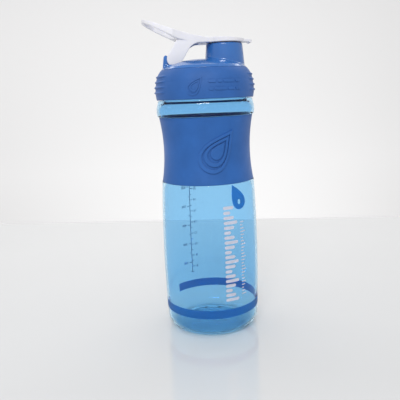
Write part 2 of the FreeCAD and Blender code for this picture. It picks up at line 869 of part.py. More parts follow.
def hollow_arm(body):
    """Open the arm from below, leaving a cheek on each side and a web along its back and top."""
    half = D["knuckle_radius"]
    web = D["arm_web"]
    inner = half - web
    sketch = new_sketch(body, "arm_hollow", "XZ_Plane")
    outline(sketch, [
        beside_arm(half * 2.2, -half * 2),
        beside_arm(half * -2.2, -half * 2),
        beside_arm(half * -2.2, half * 1.0),
        (-8.0, 249.0),
        (-2.0, D["cap_underside"]),
        (-4.6, D["cap_underside"] + 1.2),
        (-8.8, 256.2, -15.6, 258.4),
        beside_arm(inner, half * 2.6),
        beside_arm(inner, half * 1.5),
        beside_arm(half * 2.2, half * 1.5),
    ])
    pocket(body, sketch, "arm_hollow", D["cheek_inner"] * 2, midplane=True)


def make_stopper():
    """The tapered plug under the cover that closes the spout."""
    body = new_body("spout_stopper")
    top = D["cap_underside"]
    radius = D["spout_bore_radius"] - D["stopper_gap"]
    sketch = new_sketch(body, "section", "XZ_Plane")
    outline(sketch, [
        (0, top - D["stopper_depth"]),
        (radius - 1.6, top - D["stopper_depth"]),
        (radius - 1.0, top - D["stopper_depth"] + 0.5),
        (radius, top),
        (0, top),
    ])
    revolve(body, sketch, "plug")
    body.Placement = FreeCAD.Placement(V(D["spout_centre"].value, 0, 0), FreeCAD.Rotation())
    return body


def check_document():
    for item in doc.Objects:
        if "Invalid" in item.State or "Error" in item.State:
            raise RuntimeError(item.Label + " did not compute: " + str(item.State))


def export(bodies):
    os.makedirs("parts", exist_ok=True)
    for body in bodies:
        if body.Shape.isNull() or not body.Shape.isValid():
            raise RuntimeError(body.Label + " has no valid shape")
        if len(body.Shape.Solids) != 1:
            raise RuntimeError(body.Label + " is not one solid")
        body.Shape.exportStep("parts/" + body.Label + ".step")
        box = body.Shape.optimalBoundingBox()
        print(body.Label, round(body.Shape.Volume), box)


BODIES = [
    make_bottle(),
    make_grip(),
    make_base_band(),
    *[make_printed_column(label, steps) for label, steps in COLUMN_STEPS.items()],
    make_seal(),
    make_lid_skirt(),
    make_lid_dome(),
    make_spout(),
    make_lid_band(),
    make_grid(),
    make_flip_cap(),
    make_stopper(),
]
doc.recompute()
check_document()
export(BODIES)
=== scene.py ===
import json
import math

import bmesh
import bpy
from mathutils import Matrix, Vector


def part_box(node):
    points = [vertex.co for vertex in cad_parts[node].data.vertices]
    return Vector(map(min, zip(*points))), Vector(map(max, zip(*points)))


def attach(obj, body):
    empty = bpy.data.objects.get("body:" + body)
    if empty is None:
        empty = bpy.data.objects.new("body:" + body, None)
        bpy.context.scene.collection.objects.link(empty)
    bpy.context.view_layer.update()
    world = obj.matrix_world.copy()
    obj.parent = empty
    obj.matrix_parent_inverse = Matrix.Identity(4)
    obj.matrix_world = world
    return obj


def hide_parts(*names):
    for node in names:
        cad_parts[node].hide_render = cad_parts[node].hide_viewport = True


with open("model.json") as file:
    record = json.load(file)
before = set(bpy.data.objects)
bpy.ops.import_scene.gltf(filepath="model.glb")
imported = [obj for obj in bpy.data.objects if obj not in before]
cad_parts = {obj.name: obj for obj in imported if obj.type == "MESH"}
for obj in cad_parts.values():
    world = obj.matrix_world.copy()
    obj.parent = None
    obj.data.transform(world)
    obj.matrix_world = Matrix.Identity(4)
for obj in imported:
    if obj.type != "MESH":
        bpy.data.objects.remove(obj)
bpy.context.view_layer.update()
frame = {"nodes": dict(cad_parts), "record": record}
MM = 0.001

# ---- node materials ---------------------------------------------------------------------


class Graph:
    """One material's node tree, with short calls for the nodes that it uses."""

    def __init__(self, name):
        self.material = bpy.data.materials.new(name)
        self.material.use_nodes = True
        self.tree = self.material.node_tree
        self.tree.nodes.clear()
        self.place = self.add("ShaderNodeTexCoord").outputs["Object"]

    def add(self, kind, **settings):
        node = self.tree.nodes.new(kind)
        for key, value in settings.items():
            setattr(node, key, value)
        return node

    def feed(self, socket, value):
        if isinstance(value, bpy.types.NodeSocket):
            self.tree.links.new(value, socket)
        else:
            socket.default_value = value

    def noise(self, scale, detail=3.0, roughness=0.55, stretch=None):
        node = self.add("ShaderNodeTexNoise")
        self.feed(node.inputs["Vector"], self.stretched(stretch) if stretch else self.place)
        node.inputs["Scale"].default_value = scale
        node.inputs["Detail"].default_value = detail
        node.inputs["Roughness"].default_value = roughness
        return node.outputs["Fac"]

    def stretched(self, scale):
        node = self.add("ShaderNodeMapping")
        self.feed(node.inputs["Vector"], self.place)
        node.inputs["Scale"].default_value = scale
        return node.outputs["Vector"]

    def remap(self, value, low, high, to_low=0.0, to_high=1.0):
        node = self.add("ShaderNodeMapRange")
        self.feed(node.inputs["Value"], value)
        limits = {"From Min": low, "From Max": high, "To Min": to_low, "To Max": to_high}
        for key, number in limits.items():
            node.inputs[key].default_value = number
        return node.outputs["Result"]

    def math(self, operation, a, b=0.0):
        node = self.add("ShaderNodeMath", operation=operation)
        self.feed(node.inputs[0], a)
        self.feed(node.inputs[1], b)
        return node.outputs[0]

    def mix(self, factor, a, b):
        node = self.add("ShaderNodeMix", data_type="RGBA")
        self.feed(node.inputs["Factor"], factor)
        for socket, colour in ((node.inputs["A"], a), (node.inputs["B"], b)):
            self.feed(socket, (*colour, 1.0) if isinstance(colour, tuple) else colour)
        return node.outputs["Result"]

    def bump(self, height, strength, distance, base=None):
        node = self.add("ShaderNodeBump")
        self.feed(node.inputs["Height"], height)
        node.inputs["Strength"].default_value = strength
        node.inputs["Distance"].default_value = distance
        if base is not None:
            self.feed(node.inputs["Normal"], base)
        return node.outputs["Normal"]

    def surface(self, colour, roughness, normal=None, **constants):
        shader = self.add("ShaderNodeBsdfPrincipled")
        flat = isinstance(colour, tuple)
        self.feed(shader.inputs["Base Color"], (*colour, 1.0) if flat else colour)
        self.feed(shader.inputs["Roughness"], roughness)
        if normal is not None:
            self.feed(shader.inputs["Normal"], normal)
        for key, value in constants.items():
            shader.inputs[key.replace("_", " ")].default_value = value
        output = self.add("ShaderNodeOutputMaterial")
        self.tree.links.new(shader.outputs["BSDF"], output.inputs["Surface"])
        return self.material


def tint(colour, factor):
    return tuple(min(1.0, channel * factor) for channel in colour)


def soft_rubber(name, colour):
    """Soft-touch rubber: fine grain, faint handling marks and a little dust."""
    g = Graph(name)
    grain = g.noise(5200, detail=2)
    marks = g.remap(g.noise(38, detail=5), 0.42, 0.68)
    dust = g.remap(g.noise(1500, detail=1), 0.72, 0.8)
    body = g.mix(marks, tint(colour, 0.93), tint(colour, 1.08))
    shade = g.mix(g.math("MULTIPLY", dust, 0.25), body, tint(colour, 2.2))
    rough = g.remap(marks, 0, 1, 0.62, 0.5)
    normal = g.bump(grain, 0.25, 0.00006)
    return g.surface(shade, rough, normal, Sheen_Weight=0.12, Sheen_Roughness=0.45,
                     Specular_IOR_Level=0.42)


def moulded_plastic(name, colour, roughness, glow=0.0, gloss=0.0):
    """Moulded polypropylene: orange-peel surface, fine scuffs along the height. Glow is the light
    that passes under the surface, and gloss is the strength of a polished skin."""
    g = Graph(name)
    peel = g.noise(900, detail=2)
    scuff = g.remap(g.noise(260, detail=4, stretch=(1, 1, 0.12)), 0.6, 0.78)
    wash = g.remap(g.noise(30, detail=4), 0.35, 0.7)
    shade = g.mix(wash, tint(colour, 0.95), tint(colour, 1.05))
    scuffed = g.remap(scuff, 0, 1, roughness, roughness + 0.16)
    rough = g.math("ADD", scuffed, g.remap(wash, 0, 1, 0.0, 0.05))
    normal = g.bump(peel, 0.12, 0.00008)
    return g.surface(shade, rough, normal, Subsurface_Weight=glow,
                     Subsurface_Radius=(0.004, 0.004, 0.005), Subsurface_Scale=0.5,
                     Coat_Weight=gloss, Coat_Roughness=0.1)


def printed_ink(name, colour, see_through=0.0):
    """Screen-printed ink: thin spots, a slightly uneven sheen, and some light from behind."""
    g = Graph(name)
    thin = g.remap(g.noise(700, detail=4), 0.62, 0.75)
    shade = g.mix(g.math("MULTIPLY", thin, 0.35), colour, tint(colour, 1.35))
    rough = g.remap(g.noise(1900, detail=2), 0.3, 0.7, 0.34, 0.5)
    return g.surface(shade, rough, g.bump(thin, 0.2, 0.00003), Transmission_Weight=see_through,
                     IOR=1.2)


CLEAR_IOR = 1.05  # a thin wall bends light little, and its gloss comes from the coat
# painted light: below these heights the foot gets a lighter tint than the wall
FOOT_PAINTED_LIGHT_ENDS = (0.012, 0.03)  # heights in metres between which one tint becomes the next
LOW_TINT_ENDS = (0.04, 0.11)
# painted shade: above these heights the shoulder and neck under the lid get a darker tint
SHOULDER_SHADE_STARTS = (0.19, 0.194)


def clear_plastic(name, wall, low_wall, foot_painted_light, shoulder_painted_shade):
    """Blue-tinted clear plastic whose tint changes up the bottle: lighter at the foot as painted light,
    deeper on the lower belly, and darker on the shoulder and neck as painted shade under the lid; with
    hairline scratches and a moulded ripple."""
    g = Graph(name)
    split = g.add("ShaderNodeSeparateXYZ")
    g.feed(split.inputs["Vector"], g.place)
    height = split.outputs["Z"]
    hair = g.remap(g.noise(520, detail=3, stretch=(1, 1, 0.05)), 0.64, 0.7)
    cloud = g.remap(g.noise(24, detail=4), 0.4, 0.7)
    shade = g.mix(g.remap(height, *LOW_TINT_ENDS), low_wall, wall)
    # painted light: a lighter tint at the foot
    shade = g.mix(g.remap(height, *FOOT_PAINTED_LIGHT_ENDS), foot_painted_light, shade)
    # painted shade: a darker tint on the shoulder and neck under the lid
    shade = g.mix(g.remap(height, *SHOULDER_SHADE_STARTS), shade, shoulder_painted_shade)
    shade = g.mix(g.math("MULTIPLY", hair, 0.3), shade, tint(wall, 1.25))
    rough = g.math("ADD", g.remap(cloud, 0, 1, 0.02, 0.06), g.math("MULTIPLY", hair, 0.1))
    ripple = g.noise(55, detail=1)
    normal = g.bump(ripple, 0.06, 0.0006, g.bump(hair, 0.04, 0.00004))
    return g.surface(shade, rough, normal, Transmission_Weight=1.0, IOR=CLEAR_IOR,
                     Coat_Weight=0.45, Coat_Roughness=0.03, Coat_IOR=1.5)


ROYAL = (0.027, 0.150, 0.47)
COOL_WHITE = (0.78, 0.78, 0.83)
MATERIALS = {
    # the lighter foot tint is painted light, and the darker shoulder tint is painted shade under the lid
    "clear_bottle": clear_plastic("clear_tinted_plastic", wall=(0.515, 0.77, 0.95),
                                  low_wall=(0.45, 0.745, 0.965), foot_painted_light=(0.59, 0.845, 1.0),
                                  shoulder_painted_shade=(0.42, 0.70, 0.93)),
    "grip_rubber": soft_rubber("grip_soft_rubber", (0.015, 0.112, 0.395)),
    "blue_print": printed_ink("band_ink", (0.065, 0.30, 0.70), 0.75),
    "scale_print": printed_ink("scale_ink", (0.07, 0.2, 0.45), 0.3),
    "white_print": printed_ink("white_ink", (0.76, 0.76, 0.86), 0.3),
    "seal_rubber": soft_rubber("seal_silicone", (0.7, 0.74, 0.8)),
    "lid_plastic": moulded_plastic("lid_moulded_plastic", ROYAL, 0.2, 0.05, 0.5),
    "lid_rubber": soft_rubber("lid_soft_rubber", (0.019, 0.113, 0.39)),
    "grid_plastic": moulded_plastic("grid_moulded_plastic", (0.72, 0.75, 0.8), 0.38, 0.1),
    "cap_plastic": moulded_plastic("cap_moulded_plastic", COOL_WHITE, 0.34, 0.15),
    "stopper_plastic": soft_rubber("stopper_soft_plastic", COOL_WHITE),
}


def paint_cad_nodes():
    for entry in frame["record"]["subparts"]:
        node = frame["nodes"][entry["node"]]
        node.data.materials.clear()
        node.data.materials.append(MATERIALS[entry["material_slot"]])


# ---- outlines, in millimetres, as (radius, height) points --------------------------------


def arc(start, via, end, steps=16):
    """Points from start to end, both included, along the circle through via."""
    ax, ay = start
    bx, by = via
    cx, cy = end
    cross = 2 * (ax * (by - cy) + bx * (cy - ay) + cx * (ay - by))
    a2, b2, c2 = ax * ax + ay * ay, bx * bx + by * by, cx * cx + cy * cy
    ox = (a2 * (by - cy) + b2 * (cy - ay) + c2 * (ay - by)) / cross
    oy = (a2 * (cx - bx) + b2 * (ax - cx) + c2 * (bx - ax)) / cross
    radius = math.hypot(ax - ox, ay - oy)
    turn = [math.atan2(y - oy, x - ox) for x, y in (start, via, end)]
    first = (turn[1] - turn[0]) % math.tau
    whole = (turn[2] - turn[0]) % math.tau
    sweep = whole if first <= whole else whole - math.tau
    angles = [turn[0] + sweep * i / steps for i in range(steps + 1)]
    return [(ox + radius * math.cos(angle), oy + radius * math.sin(angle)) for angle in angles]


def run(start, end, spacing):
    """Points from start up to but not including end, no further apart than spacing."""
    count = max(1, math.ceil(math.dist(start, end) / spacing))
    return [tuple(a + (b - a) * i / count for a, b in zip(start, end)) for i in range(count)]


LONGEST_ROUNDING = 0.45  # as a share of the shorter side


def soften(points, radius, steps=4):
    """Round the corner at the middle of three points, as the points that take its place."""
    before, corner, after = (Vector(p) for p in points)
    back = (before - corner).normalized()
    ahead = (after - corner).normalized()
    shorter = min((before - corner).length, (after - corner).length)
    reach = min(radius, shorter * LONGEST_ROUNDING)
    start, end = corner + back * reach, corner + ahead * reach
    made = []
    for i in range(steps + 1):
        t = i / steps
        made.append(tuple(start * (1 - t) ** 2 + corner * (2 * t * (1 - t)) + end * t * t))
    return made


def rounded(outline, closed=True):
    """An outline whose points may carry a third number, the size of their rounding."""
    made = []
    count = len(outline)
    for index, point in enumerate(outline):
        if len(point) < 3 or (not closed and index in (0, count - 1)):
            made.append(tuple(point[:2]))
            continue
        trio = (outline[index - 1][:2], point[:2], outline[(index + 1) % count][:2])
        made.extend(soften(trio, point[2]))
    return made


# ---- turned pieces -----------------------------------------------------------------------


def make_object(name, mesh, slot, body, crease=40):
    """Smooth a mesh up to a crease angle and make it a piece that rides on a body."""
    mesh.validate()
    mesh.update()
    mesh.shade_smooth()
    mesh.set_sharp_from_angle(angle=math.radians(crease))
    mesh.materials.clear()
    mesh.materials.append(MATERIALS[slot])
    obj = bpy.data.objects.new(name, mesh)
    bpy.context.scene.collection.objects.link(obj)
    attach(obj, body)
    return obj


ON_AXIS = 1e-6


def turn_outline(name, outline, segments, shift=None):
    """A closed mesh turned about Z. An outline that ends on the axis closes there with a fan.
    shift(radius, height, angle) gives a vertex its own radius and height."""
    vertices = []
    rows = []
    for radius, height in outline:
        if radius < ON_AXIS:
            rows.append([len(vertices)])
            vertices.append((0.0, 0.0, height * MM))
            continue
        rows.append(range(len(vertices), len(vertices) + segments))
        for step in range(segments):
            angle = math.tau * step / segments
            r, z = shift(radius, height, angle) if shift else (radius, height)
            vertices.append((r * math.cos(angle) * MM, r * math.sin(angle) * MM, z * MM))
    faces = []
    pairs = list(zip(rows, rows[1:]))
    if len(rows[0]) > 1:
        pairs.append((rows[-1], rows[0]))
    for low, high in pairs:
        for step in range(segments):
            after = (step + 1) % segments
            lower = [low[step % len(low)], low[after % len(low)]]
            upper = [high[after % len(high)], high[step % len(high)]]
            corners = list(dict.fromkeys([*lower, *upper]))
            if len(corners) > 2:
                faces.append(corners)
    mesh = bpy.data.meshes.new(name)
    mesh.from_pydata(vertices, [], faces)
    return mesh


def evaluated_mesh(obj):
    """A new mesh with the shape that an object has after its modifiers."""
    return bpy.data.meshes.new_from_object(obj.evaluated_get(bpy.context.evaluated_depsgraph_get()))


def ramp(value, low, high):
    """0 below low, 1 above high, and a smooth climb between."""
    t = min(1.0, max(0.0, (value - low) / (high - low)))
    return t * t * (3 - 2 * t)


# ---- bottle ------------------------------------------------------------------------------

WALL = 2.0
GRIP_THICKNESS = 1.6
GRIP_BOTTOM, GRIP_TOP = (corner.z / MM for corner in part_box("grip_sleeve"))
NECK_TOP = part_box("bottle_body")[1].z / MM
NECK_RADIUS = 36.6
SHOULDER_TOP = 206.0
SHOULDER_RADIUS = 42.7
FOOT_RADIUS = 30.9
FOOT_CORNER = 10.8
BELLY = ((FOOT_RADIUS + FOOT_CORNER, FOOT_CORNER), (43.1, 70.0), (41.1, 135.0))
WAIST = ((40.75, GRIP_BOTTOM), (38.2, 165.0), (41.0, GRIP_TOP))
THREAD_LEAD, THREAD_DEPTH, THREAD_TURNS = 12.0, 1.5, 0.75
THREAD_BOTTOM = 208.8
THREAD_HALF_WIDTH, THREAD_FLANK, THREAD_RUN_OUT = 1.3, 0.7, 0.03
NECK_STEP = 0.35  # close enough together for the thread to show
THREADED_HEIGHTS = (206.9, 222.0)
MOUTH_ROUNDING = 0.7
SHOULDER_BEND = (SHOULDER_RADIUS, 197.6)
BASE_RINGS = ((0, 5.4), (3.6, 5.4), (5.0, 4.5), (8.4, 4.5), (9.8, 3.6), (13.0, 3.6), (14.6, 4.6),
              (19.0, 4.6))
RING_ROUNDING = 1.2
BOTTLE_SEGMENTS = 224


def moved(points, inward):
    return tuple((r - inward, z) for r, z in points)


def radius_lookup(points):
    """A function that gives an outline's radius at a height."""

    def radius_at(height):
        for (r0, z0), (r1, z1) in zip(points, points[1:]):
            if z0 <= height <= z1:
                return r0 + (r1 - r0) * (height - z0) / (z1 - z0)
        return points[0][0] if height < points[0][1] else points[-1][0]

    return radius_at


belly_radius = radius_lookup(arc(*BELLY, steps=64))
waist_radius = radius_lookup(arc(*WAIST, steps=64))


def thread_height(height, angle):
    """How far the two-start neck thread stands out at a height and angle."""
    tallest = 0.0
    for start in (0.0, math.pi):
        travelled = ((angle - start) % math.tau) / math.tau
        if travelled > THREAD_TURNS:
            continue
        off = abs(height - THREAD_BOTTOM - THREAD_LEAD * travelled)
        side = ramp(THREAD_HALF_WIDTH - off, 0.0, THREAD_FLANK)
        ends = ramp(travelled, 0.0, THREAD_RUN_OUT) * ramp(THREAD_TURNS - travelled, 0.0, THREAD_RUN_OUT)
        tallest = max(tallest, side * ends)
    return tallest * THREAD_DEPTH


def foot_corner(inward):
    """The rounded corner from the foot up to the belly, drawn in by the wall's thickness."""
    reach = FOOT_CORNER - inward
    via = reach * math.sqrt(0.5)
    start = (FOOT_RADIUS, inward)
    end = (FOOT_RADIUS + reach, FOOT_CORNER)
    return arc(start, (FOOT_RADIUS + via, FOOT_CORNER - via), end, 12)


def make_bottle():
    """The clear bottle as one closed wall, with base rings, a recess for the sleeve and a thread."""
    recess = GRIP_THICKNESS
    mouth = NECK_RADIUS - WALL
    middle, *between, last = BASE_RINGS
    rings = rounded([middle, *[(*point, RING_ROUNDING) for point in between], last], closed=False)
    foot_out = arc(last, (24.8, 3.3), (27.8, 0.7), 8)
    corner = foot_corner(0.0)
    neck = (NECK_RADIUS, NECK_TOP)
    sleeve_ledge = [
        (41.1, GRIP_BOTTOM - 0.5), (40.9, GRIP_BOTTOM - 0.1, 0.3), (WAIST[0][0] - recess, GRIP_BOTTOM),
    ]
    outside = [
        *rings[:-1], *foot_out, (28.8, 0.3), *corner[:-1],
        *arc(*BELLY, steps=40),
        *rounded(sleeve_ledge)[1:],
        *arc(*moved(WAIST, recess), steps=24)[1:],
        (41.4, GRIP_TOP + 0.05), (42.0, GRIP_TOP + 0.3), (42.3, GRIP_TOP + 0.9),
        *arc((42.45, GRIP_TOP + 1.6), SHOULDER_BEND, (41.6, 203.2), 12),
        *arc((41.4, 203.8), (40.8, SHOULDER_TOP - 0.3), (39.6, SHOULDER_TOP), 6),
        *arc((37.6, SHOULDER_TOP + 0.1), (36.9, SHOULDER_TOP + 0.4), (NECK_RADIUS, SHOULDER_TOP + 1.1), 5),
        *run((NECK_RADIUS, THREADED_HEIGHTS[0]), (NECK_RADIUS, THREADED_HEIGHTS[1]), NECK_STEP),
        *soften(((NECK_RADIUS, THREADED_HEIGHTS[1]), neck, (mouth, NECK_TOP)), MOUTH_ROUNDING),
    ]
    inside = [
        *soften((neck, (mouth, NECK_TOP), (mouth, 215.0)), MOUTH_ROUNDING),
        (mouth, SHOULDER_TOP),
        *arc((mouth + 1.2, 203.8), (SHOULDER_RADIUS - WALL - 0.1, 198.4), (41.0 - WALL, GRIP_TOP + 0.4), 12),
        *reversed(arc(*moved(WAIST, recess + WALL), steps=24)[1:-1]),
        (41.0 - WALL, GRIP_BOTTOM - 6),
        *reversed(arc(*moved(BELLY, WALL), steps=40)[1:-3]),
        *reversed(foot_corner(WALL)),
        *reversed(arc((19.0, 6.6), (24.6, 5.4), (28.4, 2.3), 8)[1:]),
        *reversed([(r, z + WALL) for r, z in rings[:-1]]),
    ]

    def threaded(radius, height, angle):
        at_neck = THREADED_HEIGHTS[0] - 0.1 < height < THREADED_HEIGHTS[1] + 0.5
        if at_neck and radius > NECK_RADIUS - 0.01:
            radius += thread_height(height, angle)
        return radius, height

    mesh = turn_outline("clear_bottle_wall", [*outside, *inside], BOTTLE_SEGMENTS, shift=threaded)
    bottle = make_object("clear_bottle_wall", mesh, "clear_bottle", "bottle", crease=60)
    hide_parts("bottle_body")


SLEEVE_FIT = 0.05
SLEEVE_ROUNDING = 0.6
SLEEVE_SEGMENTS = 192


def make_sleeve():
    """The soft sleeve, its outside flush with the wall above and below it."""
    inner = moved(WAIST, GRIP_THICKNESS - SLEEVE_FIT)
    outer = arc(*WAIST, steps=40)
    outline = [
        *arc(*inner, steps=24),
        *soften((inner[2], outer[-1], outer[-3]), SLEEVE_ROUNDING),
        *reversed(outer[2:-2]),
        *soften((outer[2], outer[0], inner[0]), SLEEVE_ROUNDING),
    ]
    mesh = turn_outline("grip_sleeve_skin", list(reversed(outline)), SLEEVE_SEGMENTS)
    sleeve = make_object("grip_sleeve_skin", mesh, "grip_rubber", "bottle")
    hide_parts("grip_sleeve")


# ---- prints and raised marks: flat shapes wrapped round the axis -------------------------


DROP_WIDTH, DROP_TAPER = 0.40, 1.3
MARK_TILT = math.radians(-38)


def drop_shape(size, tilt, steps=40):
    """A water drop with its tip up, size millimetres tall, turned by tilt."""
    made = []
    for i in range(steps):
        t = math.tau * i / steps
        width = DROP_WIDTH * math.sin(t) * math.sin(t / 2) ** DROP_TAPER
        made.append((size * width, size * 0.5 * math.cos(t)))
    c, s = math.cos(tilt), math.sin(tilt)
    return [(x * c - y * s, x * s + y * c) for x, y in made]


def pill_shape(width, height, steps=8):
    """A bar with round ends, lying along X when it is wider than it is tall."""
    radius = min(width, height) / 2
    dx, dy = width / 2 - radius, height / 2 - radius
    made = []
    for sx, sy, first in ((1, 1, 0), (-1, 1, 1), (-1, -1, 2), (1, -1, 3)):
        for i in range(steps + 1):
            t = math.pi / 2 * (first + i / steps)
            made.append((sx * dx + radius * math.cos(t), sy * dy + radius * math.sin(t)))
    return made


def shifted(shape, x, y):
    return [(px + x, py + y) for px, py in shape]


def flat_curve(name, loops):
    """A filled 2D curve with the loops as its edges: a loop inside another is a hole."""
    data = bpy.data.curves.new(name, "CURVE")
    data.dimensions = "2D"
    data.fill_mode = "BOTH"
    for loop in loops:
        spline = data.splines.new("POLY")
        spline.points.add(len(loop) - 1)
        for point, (x, y) in zip(spline.points, loop):
            point.co = (x, y, 0, 1)
        spline.use_cyclic_u = True
    return data


def flat_text(name, body, size):
    data = bpy.data.curves.new(name, "FONT")
    data.body = body
    data.size = size
    data.align_x = "CENTER"
    data.align_y = "CENTER"
    return data


CURVE_HALF_DEPTH = 0.5
STRIP_WIDTH = 1.5


def wrap_on(name, data, slot, body, radius_at, direction, height, sunk, proud, edge=0.0):
    """Thicken a flat curve, round its edges and bend it round the axis, from sunk below the
    wall to proud of it. Seen from outside, its X runs to the right."""
    data.extrude = CURVE_HALF_DEPTH
    data.bevel_depth = edge
    data.bevel_resolution = 2
    data.resolution_u = 4
    flat = bpy.data.objects.new(name + "_flat", data)
    bpy.context.scene.collection.objects.link(flat)
    mesh = evaluated_mesh(flat)
    bpy.data.objects.remove(flat)
    slice_in_strips(mesh, STRIP_WIDTH)
    deep = CURVE_HALF_DEPTH + edge
    facing = math.radians(direction)
    for vertex in mesh.vertices:
        x, y, side = vertex.co
        wall = radius_at(height + y)
        angle = facing + x / wall
        r = wall - sunk + (proud + sunk) * (side + deep) / (2 * deep)
        vertex.co = (r * math.cos(angle) * MM, r * math.sin(angle) * MM, (height + y) * MM)
    return make_object(name, mesh, slot, body, crease=50)


def slice_in_strips(mesh, spacing):
    """Cut a flat mesh along X and along Y, so that it can follow a curved wall."""
    shape = bmesh.new()
    shape.from_mesh(mesh)
    bmesh.ops.remove_doubles(shape, verts=shape.verts, dist=1e-4)
    for axis in (Vector((1, 0, 0)), Vector((0, 1, 0))):
        reach = [v.co.dot(axis) for v in shape.verts]
        place = math.ceil(min(reach) / spacing) * spacing
        while place < max(reach):
            everything = [*shape.verts, *shape.edges, *shape.faces]
            bmesh.ops.bisect_plane(shape, geom=everything, dist=1e-5, plane_co=axis * place, plane_no=axis)
            place += spacing
    bmesh.ops.recalc_face_normals(shape, faces=shape.faces)
    shape.to_mesh(mesh)
    shape.free()


INK = {"sunk": -0.04, "proud": 0.17}
RAISED = {"sunk": 0.3, "proud": 1.2, "edge": 0.35}
SLEEVE_MARK_SIZES = (40.0, 34.6, 28.4, 23.0, 15.6)
SLEEVE_MARK_PLACE = (-81.5, 164.0)  # direction in degrees, height in millimetres
BADGE_SIZE = 23.0
BADGE_TILT = math.radians(24)
BADGE_WINDOW = (2.6, 4.4)
BADGE_WINDOW_PLACE = (1.6, -4.6)
BADGE_PLACE = (-61.0, 124.6)


def add_sleeve_mark():
    """Nested drops raised on the sleeve: two rings and a solid drop inside them."""
    mark = flat_curve("sleeve_mark", [drop_shape(size, MARK_TILT) for size in SLEEVE_MARK_SIZES])
    wrap_on("sleeve_mark", mark, "grip_rubber", "bottle", waist_radius, *SLEEVE_MARK_PLACE, **RAISED)


def add_badge():
    """A printed drop below the sleeve, with a small window in it."""
    window = shifted(pill_shape(*BADGE_WINDOW), *BADGE_WINDOW_PLACE)
    badge = flat_curve("drop_badge", [drop_shape(BADGE_SIZE, BADGE_TILT), window])
    wrap_on("drop_badge", badge, "blue_print", "bottle", belly_radius, *BADGE_PLACE, **INK)


SCALE_DIRECTION = 110.6
SCALE_DIGITS = 3.3
INNER_FLOOR = 6.2
MM_PER_ML = 1000 / (math.pi * 40.6 ** 2)
ML_PER_OZ = 29.57
TICK_STROKE, LINE_STROKE = 0.5, 0.55
LONG_TICK, SHORT_TICK = 2.6, 1.5
TICK_START = 0.45
ML_STEP, ML_NUMBERED, ML_LIMIT = 50, 100, 800
OZ_NUMBERED, OZ_LIMIT = 2, 28
ML_TEXT_X, OZ_TEXT_X = 6.8, -5.4


def level(millilitres):
    return INNER_FLOOR + millilitres * MM_PER_ML


def add_volume_scale():
    """An upright line with millilitres to its right and ounces to its left, seen from outside."""
    low, high = (corner.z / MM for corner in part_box("volume_scale"))
    middle = (low + high) / 2
    ticks = [(1, amount, level(amount), amount % ML_NUMBERED == 0, ML_TEXT_X)
             for amount in range(ML_STEP, ML_LIMIT, ML_STEP)]
    ticks += [(-1, ounces, level(ounces * ML_PER_OZ), ounces % OZ_NUMBERED == 0, OZ_TEXT_X)
              for ounces in range(1, OZ_LIMIT)]
    marks = [pill_shape(LINE_STROKE, high - low)]
    texts = []
    for side, number, height, numbered, text_x in ticks:
        if not low < height < high:
            continue
        width = LONG_TICK if numbered else SHORT_TICK
        tick_x = side * (TICK_START + width / 2)
        marks.append(shifted(pill_shape(width, TICK_STROKE), tick_x, height - middle))
        if numbered:
            texts.append((str(number), text_x, height))
    line = flat_curve("scale_line", marks)
    scale = wrap_on("scale_line", line, "scale_print", "bottle", belly_radius, SCALE_DIRECTION, middle, **INK)
    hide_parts("volume_scale")
    for text, x, height in texts:
        name = "scale_" + ("ml" if x > 0 else "oz") + "_" + text
        direction = SCALE_DIRECTION + math.degrees(x / belly_radius(height))
        wrap_on(name, flat_text(text, text, SCALE_DIGITS), "scale_print", "bottle", belly_radius,
                direction, height, **INK)


BAR_SHARES = (1.0, 0.74, 0.48, 0.74)


def add_print_column(node, width, thickness, pitch, direction):
    """A printed column of level bars, long to short and back, in place of the CAD's plain one."""
    low, high = (corner.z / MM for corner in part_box(node))
    middle = (low + high) / 2
    shapes = []
    for index in range(int((high - low) / pitch) + 1):
        bar = width * BAR_SHARES[index % len(BAR_SHARES)]
        shapes.append(shifted(pill_shape(bar, thickness), (bar - width) / 2, low + pitch * index - middle))
    column = wrap_on(node + "_bars", flat_curve(node + "_bars", shapes), "white_print", "bottle",
                     belly_radius, direction, middle, **INK)
    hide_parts(node)


# ---- lid ---------------------------------------------------------------------------------

LID_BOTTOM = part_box("lid_grip_band")[0].z / MM
LID_EDGE = (37.3, 231.2)
LID_BEND = (41.9, 221.0)
BAND_THICKNESS = 1.1
RIDGE_HEIGHTS = [212.6 + 4.4 * i for i in range(4)]
RIDGE_HALF_ANGLE = math.radians(31)
RIDGE_FADE = math.radians(5)
RIDGE_PROUD = 1.1
RIDGE_HALF_WIDTH = 1.35
LID_SEGMENTS = 300


def band_outside(shrink):
    """The lid band's outside, bottom to top, drawn in by shrink."""
    bend = (LID_BEND[0] - shrink, LID_BEND[1])
    low = arc((42.2 - shrink, LID_BOTTOM + 0.7), (42.8 - shrink, 212.5), bend, 46)
    top = (LID_EDGE[0] - shrink * 0.7, LID_EDGE[1])
    high = arc(low[-1], (40.5 - shrink * 0.85, 226.3 - shrink * 0.4), top, 36)
    return [*low, *high[1:]]


lid_radius = radius_lookup(band_outside(0))


def ridge_height(height, angle):
    """How far the grip ridges stand out, on the left and on the right of the lid."""
    off = min(abs(height - ridge) for ridge in RIDGE_HEIGHTS)
    side = abs((angle + math.pi / 2) % math.pi - math.pi / 2)
    across = 0.5 * (1 + math.cos(math.pi * min(1.0, off / RIDGE_HALF_WIDTH)))
    along = 1 - ramp(side, RIDGE_HALF_ANGLE - RIDGE_FADE, RIDGE_HALF_ANGLE + RIDGE_FADE)
    return RIDGE_PROUD * across * along


